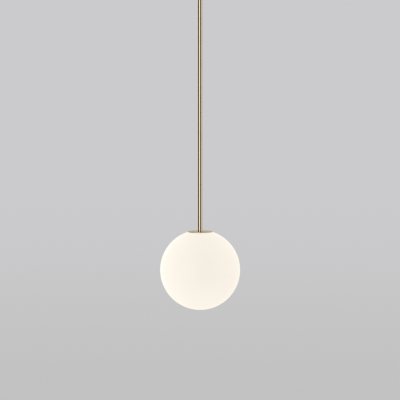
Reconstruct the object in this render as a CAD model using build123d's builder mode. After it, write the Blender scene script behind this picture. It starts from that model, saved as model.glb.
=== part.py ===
from build123d import *
from math import cos, radians, sin, sqrt, tan
import os

os.makedirs("parts", exist_ok=True)

# Rigid-stem pendant light: a ceiling canopy, a hang-straight ball swivel, a polished
# tube and an opal glass ball that is held on three springs below a small flat cap.
#
# Frame: millimetres, +Z up. The origin is the middle of the ceiling plane, midway
# between the two ceiling screws, and everything hangs below it. X runs through the
# ceiling slots and the canopy's two side screws.

# ---------------------------------------------------------------- driving dimensions
GLOBE_DIAMETER = 150.0
GLASS = 2.5  # wall of the globe
GLASS_HOLE = 40.0  # hole through the top of the globe
GLASS_FLAT = 71.2  # height of the ground flat above the globe's centre

STEM_DIAMETER = 9.5
STEM_BORE = 7.0
STEM_LENGTH = 500.0  # from the ball down to the cap
THREAD = 8.0  # M8 x 1, shown at its outer diameter
NIPPLE_BORE = 6.0
NIPPLE_GRIP = 12.0  # how far a nipple goes into the stem

CAP_DIAMETER = 46.0
CAP_PLATE = 1.1
CAP_BOSS_DIAMETER = 16.0
CAP_BOSS = 2.3  # how far the boss stands below the plate
CAP_GROOVE = 0.5  # depth of the gasket groove
GASKET = 0.7  # thickness of the gasket's flange

CANOPY_DIAMETER = 110.0
CANOPY_HEIGHT = 34.0
CANOPY_WALL = 1.2
CANOPY_EDGE = 6.0  # outer radius of the rounded lower edge
RIM_GAP = 0.5  # the rim stops this far short of the ceiling

PLATE_DIAMETER = 100.0
PLATE = 1.5
SLOT_SPACING = 68.0
SLOT_LENGTH = 12.0
SLOT_WIDTH = 4.8

BALL_DIAMETER = 24.0
LINER = 1.5
SWIVEL_GAP = 0.15  # between ball and liner, and between liner and socket
SOCKET_OPENING = 21.1
SOCKET_FLANGE = 2.4
SOCKET_NECK = 32.0  # outer diameter of the threaded neck
BALL_HEAD = 9.5  # flat on top of the ball, above its centre
BALL_FOOT = 11.0  # flat that the stem meets, below the centre

WASHER = 0.8
NUT = 3.5
NUT_FLATS = 12.0
LEAD_DIAMETER = 2.0
LEAD_CIRCLE = 1.25  # the three leads lie on this radius in the stem
CLEAR = 0.15  # clearance of a plain hole round a screw or nipple

HOLDER_DIAMETER = 23.0
HOLDER_HEIGHT = 16.0
PIN_SPACING = 9.0  # G9 base
PIN_LENGTH = 6.5
LAMP_DIAMETER = 16.0

# ---------------------------------------------------------------- levels, from the ceiling down
rim_z = -RIM_GAP
canopy_z = rim_z - CANOPY_HEIGHT
floor_z = canopy_z + CANOPY_WALL
socket_z = canopy_z - SOCKET_FLANGE
ball_r = BALL_DIAMETER / 2
liner_in = ball_r + SWIVEL_GAP
liner_out = liner_in + LINER
seat_r = liner_out + SWIVEL_GAP
ball_z = socket_z + sqrt(seat_r**2 - (SOCKET_OPENING / 2) ** 2)
head_z = ball_z + BALL_HEAD
top_nut_z = head_z + WASHER
top_end_z = top_nut_z + NUT + 1.6
stem_top_z = ball_z - BALL_FOOT
cap_z = stem_top_z - STEM_LENGTH
plate_under_z = cap_z - CAP_PLATE
glass_z = plate_under_z + CAP_GROOVE - GASKET
globe_z = glass_z - GLASS_FLAT
boss_z = plate_under_z - CAP_BOSS
carrier_z = boss_z - 1.0
web_z = carrier_z - 1.2
tag_z = web_z - 0.8
low_nut_z = tag_z - WASHER - NUT
low_end_z = low_nut_z - 1.0
foot_z = web_z - 18.6
cover_z = foot_z - 1.8
holder_z = cover_z - HOLDER_HEIGHT
shoulder_z = holder_z - 0.3
lamp_end_z = shoulder_z - 49.0

thread_r = THREAD / 2
lead_r = LEAD_DIAMETER / 2
STAND = (Align.CENTER, Align.CENTER, Align.MIN)
HANG = (Align.CENTER, Align.CENTER, Align.MAX)


def ring(z, height, outer, inner):
    """A flat ring from z up to z + height."""
    with BuildPart() as made:
        with BuildSketch(Plane.XY.offset(z)):
            Circle(outer)
            Circle(inner, mode=Mode.SUBTRACT)
        extrude(amount=height)
    return made.part


def turned(points):
    """A piece turned about Z from an outline of (radius, z) points."""
    with BuildPart() as made:
        with BuildSketch(Plane.XZ):
            with BuildLine():
                Polyline(*points, close=True)
            make_face()
        revolve(axis=Axis.Z)
    return made.part


def lock_washer(z):
    """A toothed washer, its teeth cut round the outer edge."""
    with BuildPart() as made:
        with BuildSketch(Plane.XY.offset(z)):
            Circle(6.8)
            Circle(thread_r + 0.05, mode=Mode.SUBTRACT)
            with PolarLocations(6.8, 12):
                Rectangle(1.8, 1.2, mode=Mode.SUBTRACT)
        extrude(amount=WASHER)
    return made.part


def lock_nut(z):
    """A thin hexagon nut on the M8 x 1 nipple."""
    with BuildPart() as made:
        with BuildSketch(Plane.XY.offset(z)):
            RegularPolygon(NUT_FLATS / 2, 6, major_radius=False)
            Circle(thread_r, mode=Mode.SUBTRACT)
        extrude(amount=NUT)
        with BuildSketch(Plane.XZ) as bevel:
            with Locations((0, z + NUT / 2)):
                Rectangle(2 * 7.2, NUT)
                chamfer(bevel.vertices(), 0.6)
            split(bisect_by=Plane.YZ)
        revolve(axis=Axis.Z, mode=Mode.INTERSECT)
    return made.part


def lead_bush(z, up):
    """A flanged nylon bush in the mouth of a nipple, its flange outside."""
    end = 1 if up else -1
    return turned(
        [
            (LEAD_CIRCLE + lead_r + 0.1, z + end * 0.8),
            (4.2, z + end * 0.8),
            (4.2, z),
            (NIPPLE_BORE / 2 - 0.05, z),
            (NIPPLE_BORE / 2 - 0.05, z - end * 5.0),
            (LEAD_CIRCLE + lead_r + 0.1, z - end * 5.0),
        ]
    )


def wire(points, radius):
    """A round wire along straight runs joined by the largest tangent arcs that fit."""
    route = [Vector(p) for p in points]
    arcs = []
    for before, at, after in zip(route, route[1:], route[2:]):
        turn = radians((at - before).get_angle(after - at))
        run = min((at - before).length, (after - at).length)
        arcs.append(0.45 * run / tan(turn / 2))
    with BuildPart() as made:
        with BuildLine() as path:
            FilletPolyline(*route, radius=arcs)
        start = Plane(origin=route[0], z_dir=route[1] - route[0])
        with BuildSketch(start):
            Circle(radius)
        sweep(path=path.line)
    return made.part


def slotted_screw(plane, shank_r, shank, head_r, head):
    """A cheese-head screw: its shank runs along the plane's normal, its head the other way."""
    with BuildPart() as made:
        with BuildSketch(plane):
            Circle(shank_r)
        extrude(amount=shank)
        with BuildSketch(plane):
            Circle(head_r)
        extrude(amount=-head)
        chamfer(made.edges().filter_by(GeomType.CIRCLE).group_by(SortBy.LENGTH)[-1], 0.25)
        with BuildSketch(plane.offset(-head)):
            Rectangle(2 * head_r + 1, head_r * 0.28)
        extrude(amount=head * 0.45, mode=Mode.SUBTRACT)
    return made.part


def keep(part, name):
    """Labels a finished piece and writes its STEP file."""
    part.label = name
    export_step(part, f"parts/{name}.step")


# ================================================================ ceiling mount
# Mounting plate: a pressed steel disc with the supply cable's hole, two ceiling slots,
# and two bent ears that take the canopy's side screws.
EAR_X = 52.5
EAR_Z = -10.0
BLOCK_Y = 28.0  # middle of the terminal block
BLOCK_SCREW_X = 18.0
EARTH_AT = (-30.0, 24.0)

with BuildPart() as mounting_plate:
    with BuildSketch(Plane.XY.offset(-PLATE)):
        Circle(PLATE_DIAMETER / 2)
        Rectangle(2 * EAR_X, 16)
        Circle(15, mode=Mode.SUBTRACT)
        with GridLocations(SLOT_SPACING, 0, 2, 1):
            SlotOverall(SLOT_LENGTH, SLOT_WIDTH, mode=Mode.SUBTRACT)
        with Locations(*[(s * BLOCK_SCREW_X, BLOCK_Y) for s in (-1, 1)]):
            Circle(1.5, mode=Mode.SUBTRACT)
        with Locations(EARTH_AT):
            Circle(2.0, mode=Mode.SUBTRACT)
    extrude(amount=PLATE)
    with BuildSketch(Plane.XY.offset(-17)):
        with GridLocations(2 * EAR_X - PLATE, 0, 2, 1):
            Rectangle(PLATE, 16)
    extrude(amount=17)
    fillet(mounting_plate.edges().filter_by(Axis.Y).group_by(Axis.Z)[-1], 1.2)
    with BuildSketch(Plane.YZ):
        with Locations((0, EAR_Z)):
            Circle(2.0)
    extrude(amount=EAR_X + 1, both=True, mode=Mode.SUBTRACT)
keep(mounting_plate.part, "mounting_plate")

# Canopy: a spun brass cup, open to the ceiling.
with BuildPart() as canopy:
    with BuildSketch(Plane.XY.offset(canopy_z)):
        Circle(CANOPY_DIAMETER / 2)
    extrude(amount=CANOPY_HEIGHT)
    fillet(canopy.edges().sort_by(Axis.Z)[0], CANOPY_EDGE)
    offset(amount=-CANOPY_WALL, openings=canopy.faces().sort_by(Axis.Z)[-1])
    with BuildSketch(Plane.XY.offset(canopy_z)):
        Circle(SOCKET_NECK / 2 + 0.1)
    extrude(amount=CANOPY_WALL, mode=Mode.SUBTRACT)
    with BuildSketch(Plane.YZ):
        with Locations((0, EAR_Z)):
            Circle(2.2)
    extrude(amount=CANOPY_DIAMETER, both=True, mode=Mode.SUBTRACT)
keep(canopy.part, "canopy")

# Canopy screws: one M4 at each end of the X axis, driven in towards the middle.
for side, name in ((1, "canopy_screw_right"), (-1, "canopy_screw_left")):
    seat = Plane(
        origin=(side * CANOPY_DIAMETER / 2, 0, EAR_Z), x_dir=(0, 1, 0), z_dir=(-side, 0, 0)
    )
    keep(slotted_screw(seat, 1.95, 9.0, 3.8, 2.4), name)

# Ball socket: its flange closes the canopy's hole from below and its neck carries a ring nut.
neck_r = SOCKET_NECK / 2
with BuildPart() as ball_socket:
    with BuildSketch(Plane.XY.offset(socket_z)):
        Circle(neck_r + 3.5)
    extrude(amount=SOCKET_FLANGE)
    fillet(ball_socket.edges().sort_by(Axis.Z)[0], 1.6)
    with BuildSketch(Plane.XY.offset(canopy_z)):
        Circle(neck_r)
    extrude(amount=ball_z + 6 - canopy_z)
    with Locations((0, 0, ball_z)):
        Sphere(seat_r, mode=Mode.SUBTRACT)
    with BuildSketch(Plane.XY.offset(ball_z)):
        Circle(seat_r)
    extrude(amount=6, mode=Mode.SUBTRACT)
    with BuildSketch(Plane.YZ):
        with Locations((0, ball_z)):
            Circle(1.0)
    extrude(amount=neck_r + 1, both=True, mode=Mode.SUBTRACT)
keep(ball_socket.part, "ball_socket")

# Ring nut: clamps the socket to the canopy's floor, with six slots for a spanner.
with BuildPart() as socket_ring_nut:
    with BuildSketch(Plane.XY.offset(floor_z)):
        Circle(neck_r + 4.5)
        Circle(neck_r, mode=Mode.SUBTRACT)
        with PolarLocations(neck_r + 4.5, 6):
            Rectangle(3, 3, mode=Mode.SUBTRACT)
    extrude(amount=3)
keep(socket_ring_nut.part, "socket_ring_nut")

# Liner pivots: two steel pins along X that the liner turns on.
with BuildPart() as liner_pivot_pins:
    for side in (-1, 1):
        with BuildSketch(Plane.YZ.offset(side * (liner_in + 0.3))):
            with Locations((0, ball_z)):
                Circle(1.0)
        extrude(amount=side * (neck_r - liner_in - 0.3))
keep(liner_pivot_pins.part, "liner_pivot_pins")

# Terminal block: three poles on the plate's underside, wires along Y.
POLES = (-9.0, 0.0, 9.0)
BLOCK_LENGTH = 16.0
BLOCK_FRONT = BLOCK_Y - BLOCK_LENGTH / 2
POLE_Z = -7.5
CLAMP_Y = (BLOCK_Y - 3.8, BLOCK_Y + 3.8)
BLOCK_END_Z = -14.5
BLOCK_EAR = 3.0

with BuildPart() as terminal_housing:
    with BuildSketch(Plane.XZ.offset(-BLOCK_FRONT)):
        with Locations((0, -PLATE - 2.5)):
            Rectangle(28, 5)
        with Locations(*[(x, POLE_Z) for x in POLES]):
            Circle(4.0)
            Rectangle(7, 9)
    extrude(amount=-BLOCK_LENGTH)
    with BuildSketch(Plane.XY.offset(-PLATE - BLOCK_EAR)):
        with Locations((0, BLOCK_Y)):
            SlotOverall(2 * BLOCK_SCREW_X + 8, 8)
    extrude(amount=BLOCK_EAR)
    with BuildSketch(Plane.XY.offset(BLOCK_END_Z)):
        with Locations(*[(x, y) for x in POLES for y in CLAMP_Y]):
            Circle(3.0)
    extrude(amount=POLE_Z - BLOCK_END_Z)
    with BuildSketch(Plane.XZ.offset(-BLOCK_FRONT - 1)):
        with Locations(*[(x, POLE_Z) for x in POLES]):
            Circle(2.75)
    extrude(amount=-(BLOCK_LENGTH - 2), mode=Mode.SUBTRACT)
    with BuildSketch(Plane.XZ.offset(-BLOCK_FRONT)):
        with Locations(*[(x, POLE_Z) for x in POLES]):
            Circle(1.6)
    extrude(amount=-BLOCK_LENGTH, mode=Mode.SUBTRACT)
    with BuildSketch(Plane.XY.offset(BLOCK_END_Z)):
        with Locations(*[(x, y) for x in POLES for y in CLAMP_Y]):
            Circle(2.0)
    extrude(amount=POLE_Z - BLOCK_END_Z - 2, mode=Mode.SUBTRACT)
    with BuildSketch(Plane.XY.offset(-PLATE)):
        with Locations(*[(s * BLOCK_SCREW_X, BLOCK_Y) for s in (-1, 1)]):
            Circle(1.6)
    extrude(amount=-BLOCK_EAR, mode=Mode.SUBTRACT)
keep(terminal_housing.part, "terminal_housing")

with BuildPart() as terminal_tubes:
    with BuildSketch(Plane.XZ.offset(-BLOCK_FRONT - 1.05)):
        with Locations(*[(x, POLE_Z) for x in POLES]):
            Circle(2.7)
            Circle(1.6, mode=Mode.SUBTRACT)
    extrude(amount=-(BLOCK_LENGTH - 2.1))
    with BuildSketch(Plane.XY.offset(POLE_Z)):
        with Locations(*[(x, y) for x in POLES for y in CLAMP_Y]):
            Circle(1.3)
    extrude(amount=-4, mode=Mode.SUBTRACT)
keep(terminal_tubes.part, "terminal_tubes")

FERRULE_R = 0.75
with BuildPart() as terminal_screws:
    for x in POLES:
        for y in CLAMP_Y:
            tip = Plane(origin=(x, y, POLE_Z - FERRULE_R - 0.05), z_dir=(0, 0, -1))
            add(slotted_screw(tip.offset(3.4), 1.25, -3.4, 1.8, -1.8))
keep(terminal_screws.part, "terminal_screws")

with BuildPart() as terminal_fixing_screws:
    for side in (-1, 1):
        under = Plane(
            origin=(side * BLOCK_SCREW_X, BLOCK_Y, -PLATE - BLOCK_EAR), z_dir=(0, 0, 1)
        )
        add(slotted_screw(under, 1.45, PLATE + BLOCK_EAR, 2.8, 1.8))
keep(terminal_fixing_screws.part, "terminal_fixing_screws")

# Earth screw, cup washer and the short jumper from the terminal block's middle pole.
TONGUE = 0.8
earth_head_z = -PLATE - TONGUE - 1.0
earth_plane = Plane(origin=(*EARTH_AT, earth_head_z), z_dir=(0, 0, 1))
keep(slotted_screw(earth_plane, 1.95, -earth_head_z, 4.0, 2.6), "earth_screw")

with BuildPart() as earth_cup_washer:
    with BuildSketch(Plane.XY.offset(earth_head_z)):
        with Locations(EARTH_AT):
            Circle(4.6)
            Circle(2.0, mode=Mode.SUBTRACT)
    extrude(amount=1.0)
    chamfer(earth_cup_washer.edges().group_by(Axis.Z)[0].sort_by(SortBy.LENGTH)[-1], 0.4)
keep(earth_cup_washer.part, "earth_cup_washer")

JUMPER_END = (-26.5, 33.0)
jumper_way = (Vector(*JUMPER_END) - Vector(*EARTH_AT)).normalized()
jumper_from = Vector(*JUMPER_END, -PLATE - 1.5) + 1.4 * jumper_way
with BuildPart() as jumper_ring_terminal:
    with BuildSketch(Plane.XY.offset(-PLATE - TONGUE)):
        with BuildLine():
            CenterArc(EARTH_AT, 4.2, 0, 360)
            CenterArc(JUMPER_END, 1.4, 0, 360)
        make_hull()
        with Locations(EARTH_AT):
            Circle(2.0, mode=Mode.SUBTRACT)
    extrude(amount=TONGUE)
    with BuildSketch(Plane(origin=jumper_from, z_dir=jumper_way)):
        Circle(1.4)
    extrude(amount=-4.6)
keep(jumper_ring_terminal.part, "jumper_ring_terminal")

keep(
    wire(
        [
            jumper_from,
            jumper_from + 5 * jumper_way,
            (-16, 44.0, -5.0),
            (-5, 45.0, POLE_Z),
            (0, 41.0, POLE_Z),
            (0, BLOCK_FRONT + BLOCK_LENGTH, POLE_Z),
        ],
        lead_r,
    ),
    "earth_jumper",
)

# Ferrules: crimped on the three tails and on the jumper, inside the clamps.
with BuildPart() as lead_ferrules:
    with BuildSketch(Plane.XZ.offset(-BLOCK_FRONT)):
        with Locations(*[(x, POLE_Z) for x in POLES]):
            Circle(FERRULE_R)
    extrude(amount=-7.4)
    with BuildSketch(Plane.XZ.offset(-BLOCK_FRONT - BLOCK_LENGTH)):
        with Locations((0, POLE_Z)):
            Circle(FERRULE_R)
    extrude(amount=7.4)
keep(lead_ferrules.part, "lead_ferrules")

# ================================================================ swivel liner
# A nylon cup between ball and socket. It turns about X on the two pins, and the ball
# turns in it about Y on two moulded pips, so the stem swings both ways and can't spin.
PIP_TIP = ball_r - 0.8
with BuildPart() as swivel_liner:
    with BuildSketch(Plane.XZ):
        with Locations((0, ball_z)):
            Circle(liner_out)
            Circle(liner_in, mode=Mode.SUBTRACT)
        with Locations((liner_out / 2, ball_z - 1.75)):
            Rectangle(liner_out, 12.5, mode=Mode.INTERSECT)
    revolve(axis=Axis.Z)
    with BuildSketch(Plane.YZ):
        with Locations((0, ball_z)):
            Circle(1.1)
    extrude(amount=liner_out + 1, both=True, mode=Mode.SUBTRACT)
    for side in (-1, 1):
        with BuildSketch(Plane.XZ.offset(side * PIP_TIP)):
            with Locations((0, ball_z)):
                Circle(1.5)
        extrude(amount=side * (liner_in + 0.5 - PIP_TIP))
keep(swivel_liner.part, "swivel_liner")

# ================================================================ stem
# Ball: truncated top and bottom, threaded through, with two dimples for the liner's pips.
with BuildPart() as swivel_ball:
    with Locations((0, 0, ball_z)):
        Sphere(ball_r)
    split(bisect_by=Plane.XY.offset(head_z), keep=Keep.BOTTOM)
    split(bisect_by=Plane.XY.offset(stem_top_z), keep=Keep.TOP)
    with BuildSketch(Plane.XY.offset(stem_top_z)):
        Circle(thread_r)
    extrude(amount=BALL_HEAD + BALL_FOOT, mode=Mode.SUBTRACT)
    for side in (-1, 1):
        with BuildSketch(Plane.XZ.offset(side * (PIP_TIP - 0.3))):
            with Locations((0, ball_z)):
                Circle(1.6)
        extrude(amount=side * 3, mode=Mode.SUBTRACT)
keep(swivel_ball.part, "swivel_ball")

keep(
    ring(
        stem_top_z - NIPPLE_GRIP,
        top_end_z - stem_top_z + NIPPLE_GRIP,
        thread_r,
        NIPPLE_BORE / 2,
    ),
    "top_nipple",
)
keep(lock_washer(head_z), "top_lock_washer")
keep(lock_nut(top_nut_z), "top_lock_nut")
keep(lead_bush(top_end_z, up=True), "top_lead_bush")

# Stem: a drawn brass tube, threaded inside at both ends.
with BuildPart() as stem_tube:
    with BuildSketch(Plane.XY.offset(cap_z)):
        Circle(STEM_DIAMETER / 2)
        Circle(STEM_BORE / 2, mode=Mode.SUBTRACT)
    extrude(amount=STEM_LENGTH)
    for end_z, depth in ((cap_z, NIPPLE_GRIP), (stem_top_z, -NIPPLE_GRIP)):
        with BuildSketch(Plane.XY.offset(end_z)):
            Circle(thread_r)
        extrude(amount=depth, mode=Mode.SUBTRACT)
keep(stem_tube.part, "stem_tube")

keep(
    ring(low_end_z, cap_z + NIPPLE_GRIP - low_end_z, thread_r, NIPPLE_BORE / 2),
    "bottom_nipple",
)

# Globe cap: a turned brass disc that the stem lands on, with a threaded boss below
# and a groove round its edge for the gasket.
hole_r = GLASS_HOLE / 2
with BuildPart() as globe_cap:
    with BuildSketch(Plane.XY.offset(plate_under_z)):
        Circle(CAP_DIAMETER / 2)
    extrude(amount=CAP_PLATE)
    fillet(globe_cap.edges().sort_by(Axis.Z)[-1], 0.5)
    with BuildSketch(Plane.XY.offset(plate_under_z)):
        Circle(hole_r + 2.7)
        Circle(hole_r - 1.2, mode=Mode.SUBTRACT)
    extrude(amount=CAP_GROOVE, mode=Mode.SUBTRACT)
    with BuildSketch(Plane.XY.offset(plate_under_z)):
        Circle(CAP_BOSS_DIAMETER / 2)
    extrude(amount=-CAP_BOSS)
    with BuildSketch(Plane.XY.offset(boss_z)):
        Circle(thread_r)
    extrude(amount=CAP_BOSS + CAP_PLATE, mode=Mode.SUBTRACT)
keep(globe_cap.part, "globe_cap")

# Gasket: clear silicone, an L in section, between the cap and the edge of the glass.
gasket_top = plate_under_z + CAP_GROOVE
keep(
    turned(
        [
            (hole_r - 1.1, gasket_top),
            (hole_r + 2.6, gasket_top),
            (hole_r + 2.6, gasket_top - GASKET + 0.05),
            (hole_r - 0.3, gasket_top - GASKET + 0.05),
            (hole_r - 0.3, gasket_top - 2.0),
            (hole_r - 1.1, gasket_top - 2.0),
        ]
    ),
    "globe_gasket",
)

# Spring carrier and the three springs that hold the globe up by the edge of its hole.
SPRING_ANGLES = (0, 120, 240)
RIVET_CIRCLE = 14.8
RIVET_R = 1.25
STRIP = 0.4
CARRIER_R = 17.5

with BuildPart() as spring_carrier:
    with BuildSketch(Plane.XY.offset(carrier_z)):
        Circle(CARRIER_R)
        Circle(thread_r + CLEAR, mode=Mode.SUBTRACT)
        with PolarLocations(RIVET_CIRCLE, 3):
            Circle(RIVET_R, mode=Mode.SUBTRACT)
        with PolarLocations(11.5, 3, start_angle=60):
            Circle(3.0, mode=Mode.SUBTRACT)
    extrude(amount=boss_z - carrier_z)
keep(spring_carrier.part, "spring_carrier")

LEG_START = 11.8
SHOULDER_START = 19.0
SHOULDER_R = 4.7
leg_z = boss_z + STRIP / 2
crest_z = leg_z - SHOULDER_R
for number, angle in enumerate(SPRING_ANGLES, 1):
    a = radians(angle)
    side_on = Plane(origin=(0, 0, 0), x_dir=(cos(a), sin(a), 0), z_dir=(sin(a), -cos(a), 0))
    rivet_at = (RIVET_CIRCLE * cos(a), RIVET_CIRCLE * sin(a))
    with BuildPart() as globe_spring:
        with BuildSketch(side_on):
            with BuildLine():
                leg = Line((LEG_START, leg_z), (SHOULDER_START, leg_z))
                shoulder = TangentArc(
                    leg @ 1, (SHOULDER_START + SHOULDER_R, crest_z), tangent=leg % 1
                )
                belly = JernArc(shoulder @ 1, shoulder % 1, 14, -32)
                tail = Line(belly @ 1, belly @ 1 + 7 * (belly % 1))
                JernArc(tail @ 1, tail % 1, 2.2, 75)
            trace(line_width=STRIP)
        extrude(amount=3, both=True)
        with BuildSketch(Plane.XY.offset(boss_z)):
            with Locations(rivet_at):
                Circle(RIVET_R)
        extrude(amount=STRIP, mode=Mode.SUBTRACT)
    keep(globe_spring.part, f"globe_spring_{number}")

with BuildPart() as spring_rivets:
    with PolarLocations(RIVET_CIRCLE, 3):
        with Locations((0, 0, boss_z + STRIP)):
            Cylinder(2.0, 0.7, align=STAND)
        with Locations((0, 0, carrier_z)):
            Cylinder(RIVET_R, boss_z + STRIP - carrier_z, align=STAND)
            Cylinder(1.9, 0.6, align=HANG)
keep(spring_rivets.part, "spring_rivets")

# Lampholder bracket: an inverted U below the carrier, its feet turned in.
BRACKET_Y = 10.7
STEEL = 1.2
HOLDER_SCREW_Y = 7.0
with BuildPart() as lampholder_bracket:
    with BuildSketch(Plane.YZ):
        with BuildLine():
            FilletPolyline(
                (HOLDER_SCREW_Y - 3.2, foot_z + STEEL / 2),
                (BRACKET_Y - STEEL / 2, foot_z + STEEL / 2),
                (BRACKET_Y - STEEL / 2, web_z + STEEL / 2),
                (STEEL / 2 - BRACKET_Y, web_z + STEEL / 2),
                (STEEL / 2 - BRACKET_Y, foot_z + STEEL / 2),
                (3.2 - HOLDER_SCREW_Y, foot_z + STEEL / 2),
                radius=1.4,
            )
        trace(line_width=STEEL)
    extrude(amount=6, both=True)
    with BuildSketch(Plane.XY.offset(web_z)):
        Circle(thread_r + CLEAR)
    extrude(amount=STEEL, mode=Mode.SUBTRACT)
    with BuildSketch(Plane.XY.offset(foot_z)):
        with GridLocations(0, 2 * HOLDER_SCREW_Y, 1, 2):
            Circle(1.5)
    extrude(amount=STEEL, mode=Mode.SUBTRACT)
keep(lampholder_bracket.part, "lampholder_bracket")

# Earth tag: a ring under the lower washer with a crimp barrel beside the nut.
BARREL_AT = (10.6, 3.4)
BARREL_END = tag_z - 3.6
with BuildPart() as earth_tag:
    with BuildSketch(Plane.XY.offset(tag_z)):
        with BuildLine():
            CenterArc((0, 0), 6.6, 0, 360)
            CenterArc(BARREL_AT, 1.7, 0, 360)
        make_hull()
        Circle(thread_r + 0.05, mode=Mode.SUBTRACT)
    extrude(amount=0.8)
    with BuildSketch(Plane.XY.offset(tag_z)):
        with Locations(BARREL_AT):
            Circle(1.6)
    extrude(amount=BARREL_END - tag_z)
keep(earth_tag.part, "earth_tag")

keep(lock_washer(tag_z - WASHER), "bottom_lock_washer")
keep(lock_nut(low_nut_z), "bottom_lock_nut")
keep(lead_bush(low_end_z, up=False), "bottom_lead_bush")

# Lampholder: a steatite body and cover with two sprung contacts.
pin_x = PIN_SPACING / 2
POCKET_FLOOR = holder_z + 4.0
RECESS = 3.0
with BuildPart() as lampholder_body:
    with BuildSketch(Plane.XY.offset(holder_z)):
        Circle(HOLDER_DIAMETER / 2)
    extrude(amount=HOLDER_HEIGHT)
    chamfer(lampholder_body.edges().group_by(Axis.Z)[0], 0.8)
    with BuildSketch(Plane.XY.offset(holder_z)):
        RectangleRounded(15, 7.6, 1.5)
    extrude(amount=RECESS, mode=Mode.SUBTRACT)
    with BuildSketch(Plane.XY.offset(holder_z)):
        with GridLocations(PIN_SPACING, 0, 2, 1):
            Rectangle(4.4, 1.7)
    extrude(amount=HOLDER_HEIGHT, mode=Mode.SUBTRACT)
    with BuildSketch(Plane.XY.offset(POCKET_FLOOR)):
        with GridLocations(PIN_SPACING, 0, 2, 1):
            Rectangle(5.2, 5.0)
    extrude(amount=HOLDER_HEIGHT, mode=Mode.SUBTRACT)
    with BuildSketch(Plane.XY.offset(holder_z)):
        with GridLocations(0, 2 * HOLDER_SCREW_Y, 1, 2):
            Circle(1.6)
    extrude(amount=HOLDER_HEIGHT, mode=Mode.SUBTRACT)
    with BuildSketch(Plane.XY.offset(holder_z)):
        with GridLocations(0, 2 * HOLDER_SCREW_Y, 1, 2):
            Circle(2.9)
    extrude(amount=2.4, mode=Mode.SUBTRACT)
keep(lampholder_body.part, "lampholder_body")

with BuildPart() as lampholder_cover:
    with BuildSketch(Plane.XY.offset(cover_z)):
        Circle(HOLDER_DIAMETER / 2)
        with GridLocations(PIN_SPACING, 0, 2, 1):
            Circle(lead_r + 0.3, mode=Mode.SUBTRACT)
        with GridLocations(0, 2 * HOLDER_SCREW_Y, 1, 2):
            Circle(1.6, mode=Mode.SUBTRACT)
    extrude(amount=foot_z - cover_z)
    chamfer(lampholder_cover.edges().group_by(Axis.Z)[-1].sort_by(SortBy.LENGTH)[-1], 0.5)
keep(lampholder_cover.part, "lampholder_cover")

with BuildPart() as lampholder_screws:
    for side in (-1, 1):
        seat = Plane(origin=(0, side * HOLDER_SCREW_Y, holder_z + 2.4), z_dir=(0, 0, 1))
        add(slotted_screw(seat, 1.45, foot_z + STEEL + 1.4 - seat.origin.Z, 2.75, 1.9))
keep(lampholder_screws.part, "lampholder_screws")

# Contacts: two leaves either side of each pin, bridged above it and crimped to its lead.
LEAF = 0.4
LEAF_GAP = 0.52
LEAD_END = cover_z - 2.0
for side, name in ((1, "contact_live"), (-1, "contact_neutral")):
    with BuildPart() as contact:
        with BuildSketch(Plane.YZ.offset(side * pin_x)):
            with BuildLine():
                FilletPolyline(
                    (LEAF_GAP + LEAF / 2 + 0.7, POCKET_FLOOR + 0.3),
                    (LEAF_GAP + LEAF / 2, POCKET_FLOOR + 1.9),
                    (LEAF_GAP + LEAF / 2, LEAD_END - 2.4),
                    (-LEAF_GAP - LEAF / 2, LEAD_END - 2.4),
                    (-LEAF_GAP - LEAF / 2, POCKET_FLOOR + 1.9),
                    (-LEAF_GAP - LEAF / 2 - 0.7, POCKET_FLOOR + 0.3),
                    radius=0.35,
                )
            trace(line_width=LEAF)
        extrude(amount=1.8, both=True)
        with BuildSketch(Plane.XY.offset(LEAD_END - 2.4)):
            with Locations((side * pin_x, 0)):
                Circle(1.3)
        extrude(amount=2.4)
    keep(contact.part, name)

# Leads: three insulated wires down the stem, two to the contacts and one to the earth tag.
top_lead_z = top_end_z + 1.4
low_lead_z = low_end_z - 3.0
LEADS = {"live": -30, "neutral": 210, "earth": 90}
start = {
    name: (LEAD_CIRCLE * cos(radians(a)), LEAD_CIRCLE * sin(radians(a)))
    for name, a in LEADS.items()
}
for name, side in (("live", 1), ("neutral", -1)):
    keep(
        wire(
            [
                (*start[name], top_lead_z),
                (*start[name], low_lead_z),
                (side * pin_x, 0, low_lead_z - 6.5),
                (side * pin_x, 0, LEAD_END),
            ],
            lead_r,
        ),
        f"{name}_lead",
    )
keep(
    wire(
        [
            (*start["earth"], top_lead_z),
            (*start["earth"], low_lead_z),
            (4.5, 3.4, low_lead_z - 3.5),
            (*BARREL_AT, low_lead_z - 2.0),
            (*BARREL_AT, BARREL_END),
        ],
        lead_r,
    ),
    "earth_lead",
)

# Tails: the same three wires from the top of the stem over to the terminal block.
POLE_OF = {"live": 9.0, "earth": 0.0, "neutral": -9.0}
for name, x in POLE_OF.items():
    keep(
        wire(
            [
                (*start[name], top_lead_z),
                (*start[name], top_lead_z + 5.7),
                (0.55 * x, 7.0, -2.4),
                (x, 14.0, POLE_Z),
                (x, BLOCK_FRONT, POLE_Z),
            ],
            lead_r,
        ),
        f"{name}_tail",
    )

# ================================================================ globe
outer_r = GLOBE_DIAMETER / 2
inner_r = outer_r - GLASS
flat_r = sqrt(outer_r**2 - GLASS_FLAT**2)
lip = sqrt(inner_r**2 - hole_r**2)
with BuildPart() as glass_globe:
    with BuildSketch(Plane.XZ):
        with BuildLine():
            ThreePointArc(
                (0, globe_z - outer_r), (outer_r, globe_z), (flat_r, globe_z + GLASS_FLAT)
            )
            Line((flat_r, globe_z + GLASS_FLAT), (hole_r, globe_z + GLASS_FLAT))
            Line((hole_r, globe_z + GLASS_FLAT), (hole_r, globe_z + lip))
            ThreePointArc(
                (hole_r, globe_z + lip), (inner_r, globe_z), (0, globe_z - inner_r)
            )
            Line((0, globe_z - inner_r), (0, globe_z - outer_r))
        make_face()
    revolve(axis=Axis.Z)
keep(glass_globe.part, "glass_globe")

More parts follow.
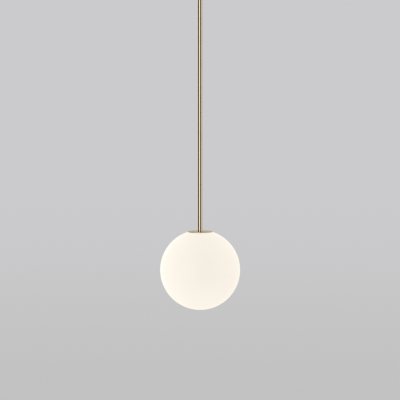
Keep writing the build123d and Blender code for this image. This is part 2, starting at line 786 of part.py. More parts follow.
# ================================================================ lamp
# G9 LED lamp: a moulded base with two looped pins, a board of LEDs and a frosted cover.
lamp_r = LAMP_DIAMETER / 2
tongue_z = shoulder_z + RECESS - 0.3
BASE = 12.0
base_end_z = shoulder_z - BASE
PIN_R = 0.45
LOOP = 1.3

with BuildPart() as lamp_base:
    with BuildSketch(Plane.XY.offset(base_end_z)):
        Circle(lamp_r)
    extrude(amount=BASE)
    fillet(lamp_base.edges().sort_by(Axis.Z)[-1], 1.2)
    with BuildSketch(Plane.XY.offset(shoulder_z - 1)):
        RectangleRounded(13.6, 6.4, 1.2)
    extrude(amount=tongue_z - shoulder_z + 1)
    with PolarLocations(lamp_r, 16):
        with Locations((0, 0, base_end_z + 1.5)):
            Cylinder(0.35, 7.5, align=STAND, mode=Mode.SUBTRACT)
keep(lamp_base.part, "lamp_base")

with BuildPart() as lamp_pins:
    for side in (-1, 1):
        with BuildLine() as loop:
            up_side = Line(
                (side * pin_x - LOOP, 0, tongue_z),
                (side * pin_x - LOOP, 0, tongue_z + PIN_LENGTH - LOOP - PIN_R),
            )
            bend = ThreePointArc(
                up_side @ 1,
                up_side @ 1 + Vector(LOOP, 0, LOOP),
                up_side @ 1 + Vector(2 * LOOP, 0, 0),
            )
            Line(bend @ 1, (side * pin_x + LOOP, 0, tongue_z))
        with BuildSketch(Plane.XY.offset(tongue_z)):
            with Locations((side * pin_x - LOOP, 0)):
                Circle(PIN_R)
        sweep(path=loop.line)
keep(lamp_pins.part, "lamp_pins")

COVER = 0.9
board_top = base_end_z
BOARD = 29.0
with BuildPart() as lamp_board:
    with Locations((0, 0, board_top)):
        Box(9.0, 1.2, BOARD, align=HANG)
keep(lamp_board.part, "lamp_board")

with BuildPart() as lamp_leds:
    for side in (-1, 1):
        with BuildSketch(Plane.XZ.offset(side * 0.6)):
            with Locations((0, board_top - 15)):
                with GridLocations(4.2, 3.9, 2, 7):
                    Rectangle(2.8, 3.0)
        extrude(amount=side * 0.7)
keep(lamp_leds.part, "lamp_leds")

with BuildPart() as lamp_cover:
    with BuildSketch(Plane.XY.offset(lamp_end_z)):
        Circle(lamp_r - 0.3)
    extrude(amount=base_end_z - lamp_end_z)
    fillet(lamp_cover.edges().sort_by(Axis.Z)[0], 5.5)
    offset(amount=-COVER, openings=lamp_cover.faces().sort_by(Axis.Z)[-1])
keep(lamp_cover.part, "lamp_cover")
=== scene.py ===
"""Looks for the pendant light: an opal glass ball on a slim polished brass stem.

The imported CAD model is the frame. Every CAD node keeps its shape and gets a procedural
material; the three wiring tails are remade here, because they bend when the stem swings.
"""

from math import cos, pi, radians, sin

import bmesh
import bpy
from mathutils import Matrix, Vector


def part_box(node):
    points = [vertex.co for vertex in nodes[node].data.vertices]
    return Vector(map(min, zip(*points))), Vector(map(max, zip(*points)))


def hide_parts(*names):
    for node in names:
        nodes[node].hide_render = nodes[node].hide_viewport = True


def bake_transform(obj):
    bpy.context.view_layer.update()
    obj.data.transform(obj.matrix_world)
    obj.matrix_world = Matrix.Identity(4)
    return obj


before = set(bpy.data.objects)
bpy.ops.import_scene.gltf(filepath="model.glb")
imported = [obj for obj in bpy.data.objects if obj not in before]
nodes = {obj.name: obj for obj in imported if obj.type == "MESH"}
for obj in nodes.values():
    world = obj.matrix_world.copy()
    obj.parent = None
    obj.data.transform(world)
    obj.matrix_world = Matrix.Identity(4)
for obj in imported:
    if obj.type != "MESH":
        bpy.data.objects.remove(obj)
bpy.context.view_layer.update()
MM = 0.001

GLASS_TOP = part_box("glass_globe")[1].z
CAP_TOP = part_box("stem_tube")[0].z  # the stem stands on the cap
CAP_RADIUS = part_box("globe_cap")[1].x


# ---------------------------------------------------------------- material helpers
class Paint:
    """A material's node tree, with short calls for the nodes that the materials share."""

    def __init__(self, name, color, roughness, metallic=0.0, **sockets):
        self.material = bpy.data.materials.new(name)
        self.material.use_nodes = True
        self.tree = self.material.node_tree
        self.shader = self.tree.nodes["Principled BSDF"]
        self.place = self.add("ShaderNodeTexCoord").outputs["Object"]
        self.color = color
        self.roughness = roughness
        self.set("Base Color", (*color, 1))
        self.set("Roughness", roughness)
        self.set("Metallic", metallic)
        for socket, value in sockets.items():
            self.set(socket.replace("_", " "), value)

    def add(self, kind, **settings):
        node = self.tree.nodes.new(kind)
        for setting, value in settings.items():
            setattr(node, setting, value)
        return node

    def link(self, output, node, socket):
        self.tree.links.new(output, node.inputs[socket])

    def set(self, socket, value):
        self.shader.inputs[socket].default_value = value

    def math(self, operation, first, second=0.0, third=0.0, clamp=False):
        """A Math node: each of its inputs is a number or another node's output."""
        node = self.add("ShaderNodeMath", operation=operation, use_clamp=clamp)
        for slot, value in enumerate((first, second, third)):
            if isinstance(value, (int, float)):
                node.inputs[slot].default_value = value
            else:
                self.link(value, node, slot)
        return node.outputs[0]

    def mixed(self, first, share, second):
        """A share of the first value and the rest of the second."""
        rest = self.math("MULTIPLY", second, 1 - share)
        return self.math("MULTIPLY_ADD", first, share, rest)

    def axis(self, letter):
        split = self.add("ShaderNodeSeparateXYZ")
        self.link(self.place, split, 0)
        return split.outputs[letter]

    def radius(self):
        """Distance from the vertical axis."""
        across = self.math("POWER", self.axis("X"), 2)
        along = self.math("POWER", self.axis("Y"), 2)
        return self.math("SQRT", self.math("ADD", across, along))

    def turn(self):
        """Turns round the vertical axis, from -0.5 to 0.5."""
        return self.math("DIVIDE", self.math("ARCTAN2", self.axis("Y"), self.axis("X")), 2 * pi)

    def stretched(self, x, y, z):
        scaled = self.add("ShaderNodeVectorMath", operation="MULTIPLY")
        self.link(self.place, scaled, 0)
        scaled.inputs[1].default_value = (x, y, z)
        return scaled.outputs[0]

    def noise(self, scale, detail=3.0, vector=None, line=None):
        """Noise from 0 to 1, in space or, with line, along one value."""
        node = self.add("ShaderNodeTexNoise", noise_dimensions="3D" if line is None else "1D")
        node.inputs["Scale"].default_value = scale
        node.inputs["Detail"].default_value = detail
        if line is None:
            self.link(vector or self.place, node, "Vector")
        else:
            self.link(line, node, "W")
        return node.outputs[0]

    def crystals(self, scale):
        """A value from 0 to 1 for each cell of a pattern of angular grains."""
        node = self.add("ShaderNodeTexVoronoi", distance="MANHATTAN")
        node.inputs["Scale"].default_value = scale
        node.inputs["Randomness"].default_value = 1.0
        self.link(self.place, node, "Vector")
        split = self.add("ShaderNodeSeparateColor")
        self.link(node.outputs["Color"], split, 0)
        return split.outputs[0]

    def remap(self, value, low, high, new_low, new_high):
        node = self.add("ShaderNodeMapRange", interpolation_type="SMOOTHSTEP")
        self.link(value, node, "Value")
        for slot, number in enumerate((low, high, new_low, new_high), 1):
            node.inputs[slot].default_value = number
        return node.outputs[0]

    def within(self, value, rise, fall):
        """1 between two slopes and 0 outside them; each slope is a pair of values."""
        up = self.remap(value, *rise, 0, 1)
        return self.math("MULTIPLY", up, self.remap(value, *fall, 1, 0))

    def tint(self, factor, other, under=None):
        """Lays another colour over the base colour (or over what is under), by factor."""
        node = self.add("ShaderNodeMix", data_type="RGBA")
        self.link(factor, node, "Factor")
        if under is None:
            node.inputs["A"].default_value = (*self.color, 1)
        else:
            self.link(under, node, "A")
        node.inputs["B"].default_value = (*other, 1)
        self.link(node.outputs["Result"], self.shader, "Base Color")
        return node.outputs["Result"]

    def vary_roughness(self, factor, spread):
        low, high = self.roughness - spread, self.roughness + spread
        self.link(self.remap(factor, 0.3, 0.7, low, high), self.shader, "Roughness")

    def bump(self, height, depth, strength=1.0, under=None):
        """Relief of that depth in metres."""
        node = self.add("ShaderNodeBump")
        node.inputs["Strength"].default_value = strength
        node.inputs["Distance"].default_value = depth
        self.link(height, node, "Height")
        if under is not None:
            self.link(under, node, "Normal")
        self.link(node.outputs[0], self.shader, "Normal")
        return node.outputs[0]


def shade(tone, amount):
    """A colour made darker (below 1) or lighter (above 1)."""
    return tuple(min(1.0, channel * amount) for channel in tone)


# ---------------------------------------------------------------- metals
BRASS = (0.86, 0.74, 0.50)
RAW_BRASS = (0.78, 0.62, 0.34)
STEEL = (0.60, 0.60, 0.61)
ZINC = (0.58, 0.60, 0.63)
TIN = (0.70, 0.70, 0.69)


def drawn_brass():
    """The stem: polished along its length, with faint draw lines and handling marks."""
    paint = Paint("drawn_brass", BRASS, 0.065, 1.0)
    lines = paint.noise(1.0, 2, vector=paint.stretched(2600, 2600, 2))
    clouds = paint.noise(24, 3)
    paint.tint(paint.remap(clouds, 0.35, 0.75, 0, 0.5), shade(BRASS, 0.93))
    paint.vary_roughness(paint.mixed(lines, 0.5, clouds), 0.02)
    paint.bump(lines, 0.2e-6)
    return paint.material


def turned_brass(name, tone=BRASS, roughness=0.14, relief=1.2e-6):
    """Spun or turned work: fine rings round the vertical axis, and lacquer over them."""
    paint = Paint(name, tone, roughness, 1.0)
    across = paint.math("ADD", paint.radius(), paint.axis("Z"))
    rings = paint.noise(2600, 3, line=across)
    coarse = paint.noise(420, 2, line=across)
    clouds = paint.noise(30, 4)
    paint.tint(paint.remap(clouds, 0.35, 0.75, 0, 0.6), shade(tone, 0.92))
    paint.vary_roughness(paint.mixed(rings, 0.6, clouds), 0.05)
    paint.bump(paint.math("ADD", rings, paint.math("MULTIPLY", coarse, 1.5)), relief)
    return paint.material


def capped_brass():
    """The globe cap: turned on its face, and only satin on its narrow rim."""
    paint = Paint("cap_brass", BRASS, 0.2, 1.0, Specular_Tint=(0.80, 0.72, 0.55, 1))
    across = paint.radius()
    rings = paint.noise(2600, 3, line=across)
    clouds = paint.noise(30, 4)
    paint.tint(paint.remap(clouds, 0.35, 0.75, 0, 0.6), shade(BRASS, 0.92))
    rim = paint.remap(across, CAP_RADIUS - 0.4 * MM, CAP_RADIUS - 0.1 * MM, 0, 0.3)
    face = paint.remap(rings, 0.3, 0.7, 0.16, 0.24)
    paint.link(paint.math("ADD", face, rim), paint.shader, "Roughness")
    paint.bump(rings, 1.2e-6)
    return paint.material


def threaded_brass():
    """The M8 x 1 nipples: a 1 mm pitch helix, bright brass on its crests, with painted shade darkening
    its roots.
    """
    paint = Paint("threaded_brass", RAW_BRASS, 0.24, 1.0)
    helix = paint.math("ADD", paint.math("DIVIDE", paint.axis("Z"), 1 * MM), paint.turn())
    crest = paint.math("PINGPONG", helix, 0.5)
    # painted shade: the thread's roots are darkened to stand in for the shadow in them
    paint.tint(paint.remap(crest, 0.0, 0.3, 0.75, 0), shade(RAW_BRASS, 0.35))
    paint.vary_roughness(paint.noise(900), 0.08)
    paint.bump(crest, 0.5 * MM, 0.9)
    return paint.material


def machined_brass():
    """Nuts, rivets, clamp tubes and washers: bare brass, a little tarnished."""
    paint = Paint("machined_brass", RAW_BRASS, 0.26, 1.0)
    cuts = paint.noise(1.0, 2, vector=paint.stretched(700, 700, 5200))
    stain = paint.noise(160, 5)
    paint.tint(paint.remap(stain, 0.42, 0.7, 0, 0.7), (0.55, 0.40, 0.20))
    paint.vary_roughness(paint.mixed(stain, 0.5, cuts), 0.1)
    paint.bump(cuts, 4e-6)
    return paint.material


def plated_steel():
    """Zinc-coated sheet: small frosted spangles, rolling marks and a trace of passivation."""
    paint = Paint("plated_steel", ZINC, 0.34, 1.0)
    bloom = paint.noise(38, 4)
    straw = paint.noise(61, 3)
    rolled = paint.noise(1.0, 3, vector=paint.stretched(60, 1600, 1600))
    spangle = paint.crystals(330)
    pale = paint.tint(spangle, shade(ZINC, 0.8))
    cool = paint.tint(paint.remap(bloom, 0.4, 0.7, 0, 0.35), (0.46, 0.51, 0.60), under=pale)
    paint.tint(paint.remap(straw, 0.5, 0.75, 0, 0.2), (0.66, 0.62, 0.50), under=cool)
    paint.vary_roughness(paint.mixed(spangle, 0.6, rolled), 0.09)
    paint.bump(rolled, 2e-6)
    return paint.material


def screw_steel():
    """Bright screws and pins, with turning marks and a trace of oil in them."""
    paint = Paint("screw_steel", STEEL, 0.25, 1.0)
    cuts = paint.noise(1.0, 2, vector=paint.stretched(5200, 900, 900))
    grime = paint.noise(420, 5)
    paint.tint(paint.remap(grime, 0.5, 0.75, 0, 0.7), (0.26, 0.24, 0.22))
    paint.vary_roughness(grime, 0.08)
    paint.bump(cuts, 4e-6)
    return paint.material


def spring_steel():
    """Hard stainless strip, brushed along its bend and slightly blued by its hardening."""
    paint = Paint("spring_steel", (0.63, 0.62, 0.61), 0.27, 1.0)
    brushed = paint.noise(1.0, 2, vector=paint.stretched(1800, 1800, 60))
    heat = paint.noise(90, 3)
    paint.tint(paint.remap(heat, 0.45, 0.7, 0, 0.4), (0.52, 0.47, 0.42))
    paint.vary_roughness(heat, 0.04)
    paint.bump(brushed, 0.8e-6)
    return paint.material


def tinned_copper():
    """Ring terminals, contacts and pins: soft grey tin with copper showing at worn spots."""
    paint = Paint("tinned_copper", TIN, 0.33, 1.0)
    worn = paint.noise(700, 4)
    paint.tint(paint.remap(worn, 0.66, 0.76, 0, 0.6), (0.72, 0.42, 0.26))
    paint.vary_roughness(paint.noise(240), 0.1)
    paint.bump(worn, 5e-6)
    return paint.material


# ---------------------------------------------------------------- glass, ceramic, plastic, rubber
def opal_glass():
    """Lit opal glass: milky and satin outside, with its rim ground flat and rough."""
    paint = Paint(
        "opal_glass",
        (0.37, 0.36, 0.35),
        0.36,
        Specular_IOR_Level=0.2,
        Emission_Color=(1.0, 0.915, 0.785, 1),
        Emission_Strength=0.695,
    )
    cloud = paint.noise(9, 3)
    paint.tint(paint.remap(cloud, 0.35, 0.7, 0, 0.5), (0.39, 0.38, 0.37))
    ground = paint.remap(paint.axis("Z"), GLASS_TOP - 0.25 * MM, GLASS_TOP - 0.05 * MM, 0, 1)
    satin = paint.remap(paint.noise(55, 3), 0.3, 0.7, 0.33, 0.40)
    paint.link(paint.math("MULTIPLY_ADD", ground, 0.4, satin, clamp=True), paint.shader, "Roughness")
    ripple = paint.noise(14, 2)
    paint.bump(ripple, 0.12 * MM, 0.5)
    return paint.material


def silicone():
    """Clear, slightly milky rubber with a moulded matt skin."""
    paint = Paint(
        "silicone", (0.80, 0.80, 0.78), 0.38, Transmission_Weight=0.35, Subsurface_Weight=0.3, IOR=1.41
    )
    dust = paint.noise(500, 4)
    paint.tint(paint.remap(dust, 0.55, 0.75, 0, 0.5), (0.66, 0.66, 0.63))
    paint.vary_roughness(dust, 0.08)
    paint.bump(paint.noise(1500), 6e-6)
    return paint.material


def steatite():
    """Unglazed pressed ceramic: chalky, with fine specks and press marks."""
    paint = Paint("steatite", (0.80, 0.77, 0.69), 0.62)
    specks = paint.noise(2600, 2)
    stain = paint.noise(70, 4)
    warm = paint.tint(paint.remap(stain, 0.4, 0.75, 0, 0.6), (0.72, 0.67, 0.57))
    paint.tint(paint.remap(specks, 0.66, 0.72, 0, 0.55), (0.45, 0.40, 0.33), under=warm)
    paint.vary_roughness(stain, 0.08)
    paint.bump(paint.noise(1800, 4), 15e-6)
    return paint.material


def moulded(name, tone, roughness=0.42, **sockets):
    """Moulded plastic: a fine spark-eroded grain and slow changes of tone."""
    paint = Paint(name, tone, roughness, **sockets)
    flow = paint.noise(45, 3)
    paint.tint(paint.remap(flow, 0.35, 0.7, 0, 0.7), shade(tone, 0.93))
    paint.vary_roughness(paint.noise(320, 4), 0.06)
    paint.bump(paint.noise(3200, 3), 8e-6)
    return paint.material


def sheath(name, tone, stripe=None, stripe_factor=None):
    """Extruded wire insulation, with an optional stripe."""
    paint = Paint(name, tone, 0.36)
    flow = paint.noise(1.0, 2, vector=paint.stretched(900, 900, 160))
    base = paint.tint(paint.remap(flow, 0.35, 0.7, 0, 0.6), shade(tone, 0.85))
    if stripe:
        paint.tint(stripe_factor(paint), stripe, under=base)
    paint.vary_roughness(flow, 0.06)
    paint.bump(flow, 6e-6)
    return paint.material


def lamp_frost():
    """The lamp's frosted cover, glowing evenly."""
    paint = Paint(
        "lamp_frost",
        (0.62, 0.60, 0.55),
        0.45,
        Emission_Color=(1.0, 0.88, 0.70, 1),
        Emission_Strength=0.42,
        Transmission_Weight=0.25,
    )
    grain = paint.noise(2400, 3)
    paint.tint(paint.remap(grain, 0.4, 0.7, 0, 0.5), (0.86, 0.82, 0.74))
    paint.vary_roughness(grain, 0.06)
    paint.bump(grain, 10e-6)
    return paint.material


def phosphor():
    """Lit LEDs: yellow phosphor gel in white frames."""
    paint = Paint(
        "phosphor",
        (0.95, 0.74, 0.20),
        0.3,
        Emission_Color=(1.0, 0.80, 0.45, 1),
        Emission_Strength=3.0,
    )
    grain = paint.noise(4000, 2)
    paint.tint(paint.remap(grain, 0.4, 0.7, 0, 0.6), (0.98, 0.85, 0.45))
    paint.vary_roughness(grain, 0.08)
    return paint.material


# ---------------------------------------------------------------- wiring
BROWN = (0.12, 0.045, 0.02)
BLUE = (0.02, 0.09, 0.36)
GREEN = (0.05, 0.30, 0.07)
YELLOW = (0.86, 0.74, 0.05)
LEAD_RADIUS = 1.0 * MM
LEAD_CIRCLE = 1.25 * MM  # the leads' circle in the stem
STRIPE_PITCH = 22 * MM  # the length in which the yellow stripe winds once round a wire
YELLOW_LEVEL = -6.5 * MM  # the earth jumper is yellow below this height
POLE_SPACING = 9 * MM
POLE_HEIGHT = -7.5 * MM  # the terminal tubes' middles, from the ceiling

# A tail's corners between its lead and its pole of the terminal block
FIRST_RISE = 5.7 * MM  # straight up from the lead's end
TOP_SHARE = 0.55  # how far out to its pole's side it is at its highest corner
TOP_Y = 7 * MM
TOP_HEIGHT = -2.4 * MM
TURN_Y = 14 * MM  # where it turns towards its pole


def stripe_on_lead(paint):
    """A yellow stripe that winds round the earth lead, which stands on +Y in the stem."""
    across = paint.math("SUBTRACT", paint.axis("Y"), LEAD_CIRCLE)
    turn = paint.math("DIVIDE", paint.math("ARCTAN2", across, paint.axis("X")), 2 * pi)
    twist = paint.math("DIVIDE", paint.axis("Z"), STRIPE_PITCH)
    return paint.math("GREATER_THAN", paint.math("FRACT", paint.math("ADD", turn, twist)), 0.5)


def stripe_on_jumper(paint):
    """Yellow below one height and green above it: no stripe winds round this wire."""
    return paint.math("LESS_THAN", paint.axis("Z"), YELLOW_LEVEL)


def stripe_on_tail(paint):
    """The same stripe on a tail, whose UVs run along the wire and once round it."""
    split = paint.add("ShaderNodeSeparateXYZ")
    paint.link(paint.add("ShaderNodeUVMap", uv_map="round").outputs[0], split, 0)
    winding = paint.math("ADD", split.outputs["X"], split.outputs["Y"])
    return paint.math("GREATER_THAN", paint.math("FRACT", winding), 0.5)


def smooth_route(points, steps=10):
    """Points along a quadratic spline that leaves and ends along its outer legs."""
    joints = [points[0]]
    joints += [(a + b) / 2 for a, b in zip(points[1:-1], points[2:-1])]
    joints.append(points[-1])
    route = [points[0]]
    for first, corner, last in zip(joints, points[1:], joints[1:]):
        for k in range(1, steps + 1):
            t = k / steps
            route.append(first * (1 - t) ** 2 + corner * 2 * t * (1 - t) + last * t**2)
    return route


def make_tube(name, route, first, last, start_side, material):
    """A round wire between two points of a route, closed where the route ends.

    Its UVs run along the route in stripe pitches and once round the wire.
    """
    sides = 16
    turns = [2 * pi * j / sides for j in range(sides)]
    body = bmesh.new()
    uv = body.loops.layers.uv.new("round")
    rings = []
    normals = []
    side = start_side
    for k in range(first, last + 1):
        before, after = route[max(k - 1, 0)], route[min(k + 1, len(route) - 1)]
        along = (after - before).normalized()
        side = (side - along * side.dot(along)).normalized()
        up = along.cross(side)
        outward = [side * cos(turn) + up * sin(turn) for turn in turns]
        rings.append([body.verts.new(route[k] + LEAD_RADIUS * way) for way in outward])
        normals += outward
    travelled = sum((b - a).length for a, b in zip(route[:first], route[1 : first + 1]))
    for k, (near, far) in enumerate(zip(rings, rings[1:]), first):
        start = travelled / STRIPE_PITCH
        travelled += (route[k + 1] - route[k]).length
        end = travelled / STRIPE_PITCH
        for j in range(sides):
            other = (j + 1) % sides
            face = body.faces.new((near[j], near[other], far[other], far[j]))
            face.smooth = True
            corners = ((start, j), (start, j + 1), (end, j + 1), (end, j))
            for loop, (u, v) in zip(face.loops, corners):
                loop[uv].uv = (u, v / sides)
    body.faces.new(rings[0][::-1] if first == 0 else rings[-1])
    mesh = bpy.data.meshes.new(name)
    body.to_mesh(mesh)
    body.free()
    mesh.normals_split_custom_set_from_vertices(normals)
    mesh.materials.append(material)
    piece = bpy.data.objects.new(name, mesh)
    bpy.context.collection.objects.link(piece)
    return piece, side


def make_tails():
    """The three wires from the stem's top to the terminal block, each in two halves.

    The swivel's two joints turn about crossed axes, so each wire is split into a half by the stem and
    a half by the block; nothing here binds them to the joints.
    """
    block_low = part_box("terminal_housing")[0]
    lead_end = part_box("live_lead")[1].z
    striped = sheath("sheath_earth_tail", GREEN, YELLOW, stripe_on_tail)
    wires = {
        "live": (-30, POLE_SPACING, sheath("sheath_live_tail", BROWN), "wire_brown"),
        "neutral": (210, -POLE_SPACING, sheath("sheath_neutral_tail", BLUE), "wire_blue"),
        "earth": (90, 0.0, striped, "wire_green_yellow"),
    }
    for name, (angle, pole, material, slot) in wires.items():
        x, y = LEAD_CIRCLE * cos(radians(angle)), LEAD_CIRCLE * sin(radians(angle))
        corners = [
            Vector((x, y, lead_end)),
            Vector((x, y, lead_end + FIRST_RISE)),
            Vector((TOP_SHARE * pole, TOP_Y, TOP_HEIGHT)),
            Vector((pole, TURN_Y, POLE_HEIGHT)),
            Vector((pole, block_low.y, POLE_HEIGHT)),
        ]
        route = smooth_route(corners)
        middle, end = len(route) // 2, len(route) - 1
        lower_name, upper_name = f"{name}_tail_stem_half", f"{name}_tail_block_half"
        lower, side = make_tube(lower_name, route, 0, middle, Vector((1, 0, 0)), material)
        upper, _ = make_tube(upper_name, route, middle, end, side, material)
        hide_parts(f"{name}_tail")
        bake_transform(lower)
        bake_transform(upper)


def paint_nodes():
    """Gives every CAD node its material."""
    brass_turned = turned_brass("turned_brass")
    brass_raw = machined_brass()
    thread = threaded_brass()
    zinc = plated_steel()
    screws = screw_steel()
    spring = spring_steel()
    tinned = tinned_copper()
    nylon = moulded("nylon", (0.86, 0.85, 0.80), 0.4, Subsurface_Weight=0.2)
    ceramic = steatite()
    earth = sheath("sheath_earth_lead", GREEN, YELLOW, stripe_on_lead)
    finishes = {
        drawn_brass(): ["stem_tube"],
        turned_brass("spun_brass", roughness=0.2, relief=1.2e-6): ["canopy"],
        capped_brass(): ["globe_cap"],
        brass_turned: ["ball_socket", "swivel_ball"],
        turned_brass("polished_screw_brass", roughness=0.18): [
            "canopy_screw_right", "canopy_screw_left",
        ],
        thread: ["top_nipple", "bottom_nipple"],
        brass_raw: [
            "socket_ring_nut", "top_lock_nut", "bottom_lock_nut", "terminal_tubes",
            "earth_cup_washer", "spring_rivets",
        ],
        zinc: [
            "mounting_plate", "spring_carrier", "lampholder_bracket", "top_lock_washer",
            "bottom_lock_washer",
        ],
        screws: [
            "liner_pivot_pins", "terminal_screws", "terminal_fixing_screws", "earth_screw",
            "lampholder_screws",
        ],
        spring: ["globe_spring_1", "globe_spring_2", "globe_spring_3"],
        tinned: [
            "jumper_ring_terminal", "lead_ferrules", "earth_tag", "contact_live",
            "contact_neutral", "lamp_pins",
        ],
        nylon: ["swivel_liner", "top_lead_bush", "bottom_lead_bush"],
        moulded("terminal_plastic", (0.84, 0.84, 0.80)): ["terminal_housing"],
        moulded("lamp_plastic", (0.88, 0.87, 0.84), 0.28): ["lamp_base"],
        moulded("board_mask", (0.90, 0.90, 0.88), 0.35): ["lamp_board"],
        silicone(): ["globe_gasket"],
        ceramic: ["lampholder_body", "lampholder_cover"],
        opal_glass(): ["glass_globe"],
        lamp_frost(): ["lamp_cover"],
        phosphor(): ["lamp_leds"],
        sheath("sheath_live", BROWN): ["live_lead"],
        sheath("sheath_neutral", BLUE): ["neutral_lead"],
        earth: ["earth_lead"],
        sheath("sheath_jumper", GREEN, YELLOW, stripe_on_jumper): ["earth_jumper"],
    }
    for material, names in finishes.items():
        for name in names:
            nodes[name].data.materials.clear()
            nodes[name].data.materials.append(material)


# ---------------------------------------------------------------- stage, light and camera
CEILING_HEIGHT = 4.0  # a tall studio: views from below stay above its floor
FLOOR_RADIUS = 5.5
FLOOR_SIDES = 96
FLOOR_FADE = (0.45, 0.98)  # where it fades, in shares of its radius
VIEW_DISTANCE = 3.2
CAMERA_RISE = 0.28  # camera height above the cap
AIM_RISE = 0.0590  # the middle of the view, above the cap
AIM_SIDE = -0.00025
LENS = 154.1
SURROUND = (0.597, 0.597, 0.610)  # the world's tone at eye level
LOWER_SURROUND = (0.535, 0.535, 0.535)
SURROUND_SLOPE = (0.31, 0.44)  # between the two tones: the view direction's Z, plus 0.5
LIGHTS_AIM = CAP_TOP + 0.1  # the height that the lights face

# The screen's bands are slopes up and down again, in degrees to the left of the camera's side
SCREEN_DISTANCE = 2.0
SCREEN_FOOT = -2.2
SCREEN_HEAD = 1.6
SCREEN_FADE = 0.6  # at its foot and at its head
SCREEN_SPAN = (-48, 116)
RIGHT_BAND = ((-48, -34), (2, 24))
LEFT_BAND = ((24, 46), (98, 116))
BRIGHT_BAND = ((5, 24), (26, 45))
BRIGHT_HEIGHTS = ((-1.05, -0.75), (0.1, 0.4))
RIGHT_SHADE = (0.035, 0.017, 0.002)
LEFT_SHADE = (0.013, 0.005, 0.004)
BRIGHT_TONE = (2.25, 2.12, 2.6)


def make_camera():
    data = bpy.data.cameras.new("camera")
    data.lens = LENS
    data.sensor_width = 36
    camera = bpy.data.objects.new("camera", data)
    bpy.context.collection.objects.link(camera)
    camera.location = (0, -VIEW_DISTANCE, CAP_TOP + CAMERA_RISE)
    aim = Vector((AIM_SIDE, 0, CAP_TOP + AIM_RISE)) - camera.location
    camera.rotation_euler = aim.to_track_quat("-Z", "Y").to_euler()
    bpy.context.scene.camera = camera


def make_world():
    """A seamless pale surround, a little darker towards the floor."""
    world = bpy.data.worlds.new("studio")
    bpy.context.scene.world = world
    world.use_nodes = True
    tree = world.node_tree
    place = tree.nodes.new("ShaderNodeTexCoord")
    split = tree.nodes.new("ShaderNodeSeparateXYZ")
    ramp = tree.nodes.new("ShaderNodeValToRGB")
    shift = tree.nodes.new("ShaderNodeMath")
    shift.operation = "ADD"
    shift.inputs[1].default_value = 0.5
    background = tree.nodes["Background"]
    tree.links.new(place.outputs["Generated"], split.inputs[0])
    tree.links.new(split.outputs["Z"], shift.inputs[0])
    tree.links.new(shift.outputs[0], ramp.inputs[0])
    tree.links.new(ramp.outputs[0], background.inputs["Color"])
    ramp.color_ramp.interpolation = "EASE"
    below, level = ramp.color_ramp.elements
    below.position, level.position = SURROUND_SLOPE
    below.color = (*LOWER_SURROUND, 1)
    level.color = (*SURROUND, 1)


def make_floor():
    """A pale floor, which fades into the surround."""
    turns = [2 * pi * k / FLOOR_SIDES for k in range(FLOOR_SIDES)]
    rim = [(FLOOR_RADIUS * cos(turn), FLOOR_RADIUS * sin(turn), -CEILING_HEIGHT) for turn in turns]
    mesh = bpy.data.meshes.new("floor")
    mesh.from_pydata(rim, [], [list(range(FLOOR_SIDES))])
    floor = bpy.data.objects.new("floor", mesh)
    bpy.context.collection.objects.link(floor)
    paint = Paint("floor", (0.78, 0.78, 0.79), 0.8)
    see_through = paint.add("ShaderNodeBsdfTransparent")
    blend = paint.add("ShaderNodeMixShader")
    inner, outer = (share * FLOOR_RADIUS for share in FLOOR_FADE)
    fade = paint.remap(paint.radius(), inner, outer, 0, 1)
    paint.link(fade, blend, 0)
    paint.link(paint.shader.outputs[0], blend, 1)
    paint.link(see_through.outputs[0], blend, 2)
    paint.link(blend.outputs[0], paint.tree.nodes["Material Output"], 0)
    mesh.materials.append(paint.material)


def softbox(name, angle, distance, width, height, radiance, centre_height, mirrored=False):
    """An area light that faces the stem, at an angle to the left of the camera's side.

    A mirrored one shows only in reflections, and the others only light what they reach.
    """
    data = bpy.data.lights.new(name, "AREA")
    data.shape = "RECTANGLE"
    data.size = width
    data.size_y = height
    data.energy = radiance * pi * width * height
    light = bpy.data.objects.new(name, data)
    bpy.context.collection.objects.link(light)
    turn = radians(angle)
    light.location = (-distance * sin(turn), -distance * cos(turn), centre_height)
    facing = Vector((0, 0, LIGHTS_AIM)) - light.location
    light.rotation_euler = facing.to_track_quat("-Z", "Y").to_euler()
    light.visible_camera = False
    light.visible_glossy = mirrored
    light.visible_diffuse = not mirrored


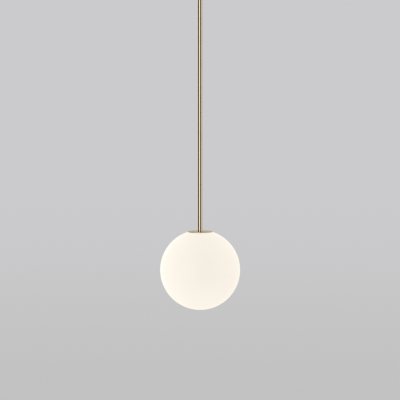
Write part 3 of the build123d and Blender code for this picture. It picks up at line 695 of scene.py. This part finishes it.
def screen_glow():
    """The screen's bands, painted by angle and height."""
    paint = Paint("screen", SURROUND, 1.0)
    to_left = paint.math("MULTIPLY", paint.axis("X"), -1)
    to_front = paint.math("MULTIPLY", paint.axis("Y"), -1)
    angle = paint.math("MULTIPLY", paint.math("ARCTAN2", to_left, to_front), 180 / pi)
    height = paint.axis("Z")
    rise = (SCREEN_FOOT, SCREEN_FOOT + SCREEN_FADE)
    fall = (SCREEN_HEAD - SCREEN_FADE, SCREEN_HEAD)
    ends = paint.within(height, rise, fall)
    right = paint.within(angle, *RIGHT_BAND)
    left = paint.within(angle, *LEFT_BAND)
    warm = paint.tint(paint.math("MULTIPLY", right, ends), RIGHT_SHADE)
    shaded = paint.tint(paint.math("MULTIPLY", left, ends), LEFT_SHADE, under=warm)
    middle = paint.within(angle, *BRIGHT_BAND)
    tall = paint.within(height, *BRIGHT_HEIGHTS)
    lit = paint.tint(paint.math("MULTIPLY", middle, tall), BRIGHT_TONE, under=shaded)
    glow = paint.add("ShaderNodeEmission")
    paint.link(lit, glow, "Color")
    paint.link(glow.outputs[0], paint.tree.nodes["Material Output"], 0)
    paint.material.cycles.emission_sampling = "NONE"
    return paint.material


def make_screen():
    """A curved screen on the camera's side of the pendant, seen only in reflections.

    It gives the polished brass its dark bands and the bright line between them, and it
    fades into the surround at its edges.
    """
    right_edge, left_edge = SCREEN_SPAN
    steps = 48
    corners = []
    for k in range(steps + 1):
        turn = radians(right_edge + (left_edge - right_edge) * k / steps)
        across, along = -SCREEN_DISTANCE * sin(turn), -SCREEN_DISTANCE * cos(turn)
        corners += [(across, along, SCREEN_FOOT), (across, along, SCREEN_HEAD)]
    faces = [(2 * k, 2 * k + 2, 2 * k + 3, 2 * k + 1) for k in range(steps)]
    mesh = bpy.data.meshes.new("screen")
    mesh.from_pydata(corners, [], faces)
    mesh.materials.append(screen_glow())
    screen = bpy.data.objects.new("screen", mesh)
    bpy.context.collection.objects.link(screen)
    screen.visible_camera = False
    screen.visible_diffuse = False
    screen.visible_shadow = False
    screen.visible_transmission = False


def make_lights():
    softbox(
        "edge_left", angle=150, distance=2.4, width=1.0, height=2.0, radiance=0.35,
        centre_height=-0.3, mirrored=True,
    )
    softbox(
        "edge_right", angle=-85, distance=2.6, width=2.6, height=2.0, radiance=0.1,
        centre_height=-0.3, mirrored=True,
    )
    softbox(
        "side_left", angle=92, distance=2.4, width=1.6, height=1.6, radiance=2.5,
        centre_height=CAP_TOP + 0.3,
    )
    softbox(
        "side_right", angle=-112, distance=2.4, width=1.4, height=1.4, radiance=1.6,
        centre_height=CAP_TOP + 1.2,
    )
    softbox(
        "bounce", angle=0, distance=0.3, width=1.4, height=1.4, radiance=0.9,
        centre_height=-2.2,
    )


paint_nodes()
make_tails()
make_world()
make_floor()
make_lights()
make_screen()
make_camera()
scene = bpy.context.scene
scene.view_settings.view_transform = "Standard"
